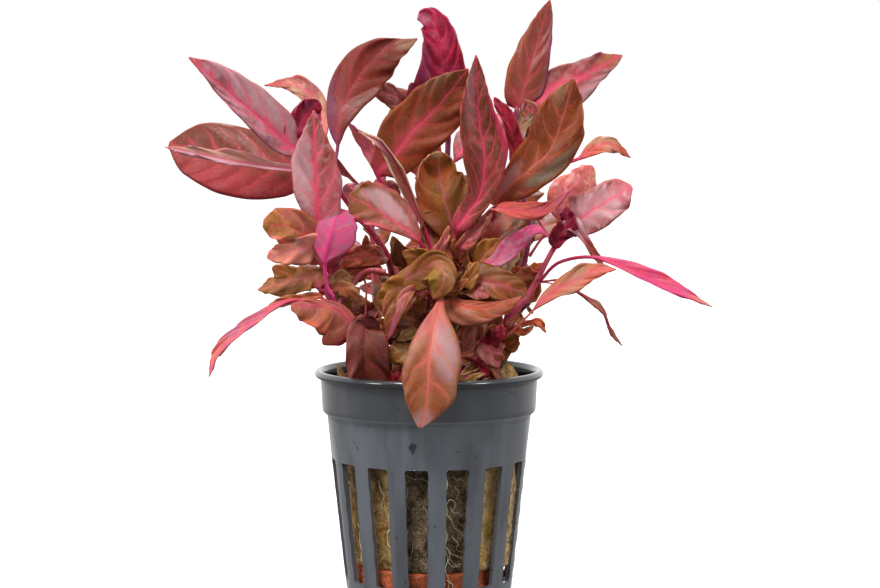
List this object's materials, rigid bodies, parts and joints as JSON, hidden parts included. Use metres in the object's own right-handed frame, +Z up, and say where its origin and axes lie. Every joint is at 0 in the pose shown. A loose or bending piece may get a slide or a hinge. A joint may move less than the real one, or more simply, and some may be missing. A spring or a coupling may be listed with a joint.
{
  "type": "potted aquarium stem plant",
  "caption": "Red-leaved aquarium stem plant with opposite lance-shaped leaves, rooted in a rock wool plug that stands in a small slotted plastic net pot.",
  "frame": {"origin": "centre of the pot's flat underside", "axes": "+Z up along the pot's axis, +X to the viewer's right in the picture, +Y away from the viewer"},
  "size_m": [0.1229, 0.0768, 0.1355],
  "materials": {
    "pot_plastic": "dark blue-grey moulded plastic with a soft sheen, bright along the rim and the step",
    "rock_wool": "matted mineral fibres, golden beige with darker moist patches and pale roots",
    "fired_clay": "rough orange-brown fired clay",
    "stem": "smooth crimson stem, darker at the nodes",
    "leaf_grey_pink": "greyish pink blade with hot pink veins",
    "leaf_brown_red": "brown-red blade with salmon-pink veins",
    "leaf_olive": "olive-brown blade with coral midrib and pink veins",
    "leaf_magenta": "magenta underside or young leaf",
    "leaf_coral": "coral to salmon blade",
    "leaf_maroon": "dark maroon blade"
  },
  "bodies": {
    "root": {"net_pot": "pot_plastic", "rock_wool": "rock_wool", "clay_disc": "fired_clay", "stem_left": "stem", "stem_centre": "stem", "stem_pink": "stem", "stem_magenta": "stem", "stem_high_left": "stem", "stem_right": "stem", "stem_high_right": "stem", "stem_back": "stem", "stem_back_left": "stem", "stem_back_right": "stem", "leaf_left_top": "leaf_grey_pink", "leaf_left_broad": "leaf_brown_red", "leaf_left_edge_on": "leaf_grey_pink", "leaf_left_upright": "leaf_grey_pink", "leaf_left_cup": "leaf_magenta", "leaf_centre_left": "leaf_brown_red", "leaf_left_wavy": "leaf_brown_red", "leaf_left_olive": "leaf_olive", "leaf_left_drooping": "leaf_magenta", "leaf_left_low": "leaf_coral", "leaf_hanging_maroon": "leaf_maroon", "leaf_hanging_folded": "leaf_brown_red", "leaf_front_drooping": "leaf_brown_red", "leaf_centre_arching": "leaf_olive", "leaf_left_inner": "leaf_brown_red", "leaf_young_crumpled": "leaf_magenta", "leaf_behind_left": "leaf_coral", "leaf_behind_strip": "leaf_coral", "leaf_top_left": "leaf_brown_red", "leaf_top_centre": "leaf_olive", "leaf_folded_long": "leaf_coral", "leaf_centre_upright": "leaf_grey_pink", "leaf_top_right": "leaf_brown_red", "leaf_far_right_top": "leaf_grey_pink", "leaf_right_broad": "leaf_olive", "leaf_right_small": "leaf_coral", "leaf_right_mottled": "leaf_grey_pink", "leaf_right_coral": "leaf_coral", "leaf_right_crumpled": "leaf_magenta", "leaf_right_falling": "leaf_brown_red", "leaf_right_long_pink": "leaf_magenta", "leaf_right_salmon": "leaf_coral", "leaf_right_withered": "leaf_coral", "leaf_low_curled": "leaf_brown_red", "leaf_front_coral": "leaf_coral", "leaf_front_orange": "leaf_olive", "leaf_right_mauve": "leaf_magenta", "leaf_inner_olive": "leaf_olive", "leaf_cupped_olive": "leaf_olive", "leaf_top_crinkled": "leaf_magenta", "leaf_back_level": "leaf_brown_red", "leaf_back_raised_left": "leaf_olive", "leaf_back_raised_right": "leaf_grey_pink", "leaf_back_left_spread": "leaf_grey_pink", "leaf_back_left_high": "leaf_brown_red", "leaf_back_right_spread": "leaf_olive", "leaf_back_right_high": "leaf_brown_red"}
  },
  "joints": []
}
